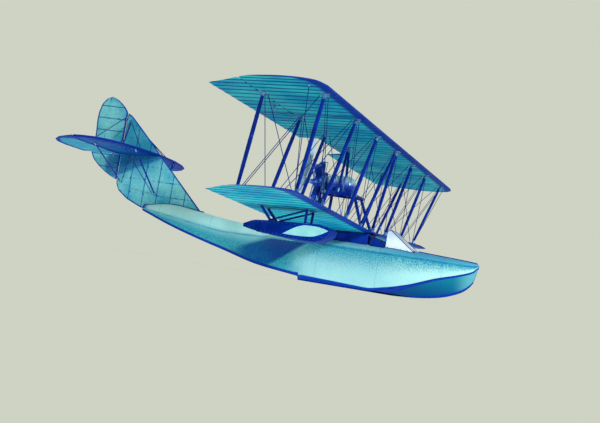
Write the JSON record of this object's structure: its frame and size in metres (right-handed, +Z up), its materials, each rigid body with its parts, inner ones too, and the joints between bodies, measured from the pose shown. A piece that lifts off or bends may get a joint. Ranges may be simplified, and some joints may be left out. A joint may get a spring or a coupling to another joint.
{
  "type": "biplane flying boat",
  "caption": "Small open-cockpit biplane flying boat with a stepped hull, a pusher rotary engine on struts between the wings, wing floats, a raised tail and working control surfaces.",
  "frame": {"origin": "on the floor under the middle of the whole boat", "axes": "+X to the nose, +Y to port along the wings, +Z up"},
  "size_m": [8.6, 13.22, 3.23],
  "materials": {
    "painted_ply": "painted and varnished plywood",
    "leather": "waxed",
    "screen_glass": "clear",
    "panel_wood": "varnished",
    "control_steel": "blued",
    "doped_fabric": "doped and painted",
    "painted_strut": "gloss paint",
    "wire_steel": "drawn wire",
    "tank_metal": "satin paint",
    "engine_steel": "machined and oiled",
    "propeller_wood": "laminated and varnished",
    "painted_float": "painted plywood"
  },
  "bodies": {
    "airframe": {"hull": "painted_ply", "cockpit_coaming": "leather", "windscreen": "screen_glass", "seat_port": "leather", "seat_starboard": "leather", "instrument_panel": "panel_wood", "control_column": "control_steel", "rudder_bar": "control_steel", "lower_wing_centre": "doped_fabric", "lower_wing_port": "doped_fabric", "lower_wing_starboard": "doped_fabric", "upper_wing_centre": "doped_fabric", "upper_wing_port": "doped_fabric", "upper_wing_starboard": "doped_fabric", "strut_front_1_port": "painted_strut", "strut_front_2_port": "painted_strut", "strut_front_3_port": "painted_strut", "strut_rear_1_port": "painted_strut", "strut_rear_2_port": "painted_strut", "strut_rear_3_port": "painted_strut", "strut_front_1_starboard": "painted_strut", "strut_front_2_starboard": "painted_strut", "strut_front_3_starboard": "painted_strut", "strut_rear_1_starboard": "painted_strut", "strut_rear_2_starboard": "painted_strut", "strut_rear_3_starboard": "painted_strut", "cabane_strut_front_port": "painted_strut", "cabane_strut_front_starboard": "painted_strut", "cabane_strut_rear_port": "painted_strut", "cabane_strut_rear_starboard": "painted_strut", "flying_wire_1_port": "wire_steel", "flying_wire_2_port": "wire_steel", "flying_wire_1_starboard": "wire_steel", "flying_wire_2_starboard": "wire_steel", "engine_mount": "painted_strut", "fuel_tank": "tank_metal", "wing_float_port": "painted_float", "wing_float_starboard": "painted_float", "float_frame_port": "painted_strut", "float_frame_starboard": "painted_strut", "fin": "doped_fabric", "tailplane_port": "doped_fabric", "tailplane_starboard": "doped_fabric", "tail_strut_front_port": "painted_strut", "tail_strut_front_starboard": "painted_strut", "tail_strut_rear_port": "painted_strut", "tail_strut_rear_starboard": "painted_strut", "tail_strut_upper_port": "painted_strut", "tail_strut_upper_starboard": "painted_strut"},
    "engine": {"rotary_engine": "engine_steel", "propeller": "propeller_wood"},
    "rudder": {"rudder": "doped_fabric"},
    "elevator_port": {"elevator_port": "doped_fabric"},
    "elevator_starboard": {"elevator_starboard": "doped_fabric"},
    "aileron_port": {"aileron_port": "doped_fabric"},
    "aileron_starboard": {"aileron_starboard": "doped_fabric"}
  },
  "joints": [
    {"name": "engine_spin", "type": "hinge", "parent": "airframe", "child": "engine", "pos_m": [0.87, 0, 2.01], "axis": [1, 0, 0], "continuous": true},
    {"name": "rudder_turn", "type": "hinge", "parent": "airframe", "child": "rudder", "pos_m": [-3.6, 0, 2.3], "axis": [0, 0, 1], "range_deg": [-25, 25]},
    {"name": "elevator_port_turn", "type": "hinge", "parent": "airframe", "child": "elevator_port", "pos_m": [-3.5, 1.2, 2.03], "axis": [0, 1, 0], "range_deg": [-20, 25]},
    {"name": "elevator_starboard_turn", "type": "hinge", "parent": "airframe", "child": "elevator_starboard", "pos_m": [-3.5, -1.2, 2.03], "axis": [0, 1, 0], "range_deg": [-20, 25]},
    {"name": "aileron_port_turn", "type": "hinge", "parent": "airframe", "child": "aileron_port", "pos_m": [1.26, 4.85, 2.799], "axis": [0, 1, 0], "range_deg": [-20, 20]},
    {"name": "aileron_starboard_turn", "type": "hinge", "parent": "airframe", "child": "aileron_starboard", "pos_m": [1.26, -4.85, 2.799], "axis": [0, 1, 0], "range_deg": [-20, 20]}
  ],
  "couplings": [
    {"joint": "elevator_starboard_turn", "follows": "elevator_port_turn", "ratio": 1},
    {"joint": "aileron_starboard_turn", "follows": "aileron_port_turn", "ratio": -1}
  ]
}
